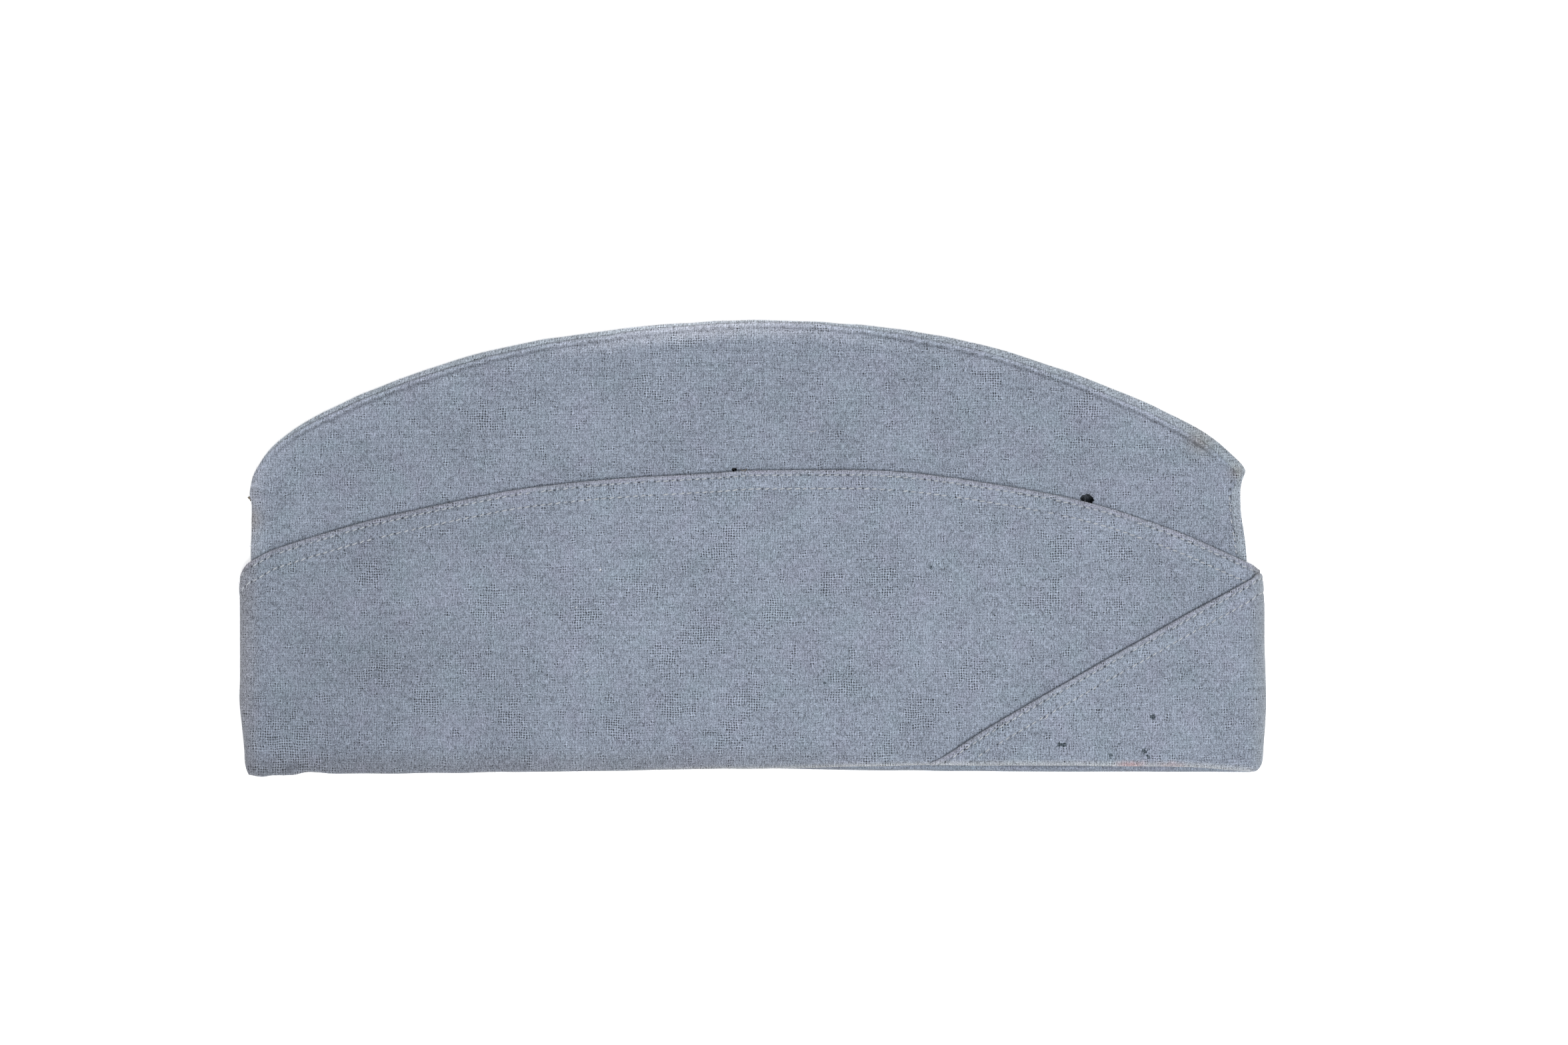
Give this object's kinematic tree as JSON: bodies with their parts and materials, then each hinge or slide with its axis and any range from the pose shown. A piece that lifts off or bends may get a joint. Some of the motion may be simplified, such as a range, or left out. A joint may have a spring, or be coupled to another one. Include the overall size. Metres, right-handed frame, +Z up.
{
  "type": "side cap",
  "caption": "Soft wedge-shaped wool cap lying folded flat, with a turned-up curtain that overlaps aslant at the front and an open hollow for the head.",
  "frame": {"origin": "on the surface that the cap lies on, under the middle of its outline", "axes": "+X to the cap's front, +Y from its mouth to its ridge, +Z up from the surface that it lies on"},
  "size_m": [0.288, 0.1279, 0.0166],
  "materials": {
    "crown_wool": "fulled blue-grey wool, worn",
    "curtain_wool": "fulled blue-grey wool, worn and pilled"
  },
  "bodies": {
    "root": {"crown_left_side": "crown_wool", "crown_right_side": "crown_wool", "curtain_left_piece": "curtain_wool", "curtain_right_piece": "curtain_wool"}
  },
  "joints": []
}
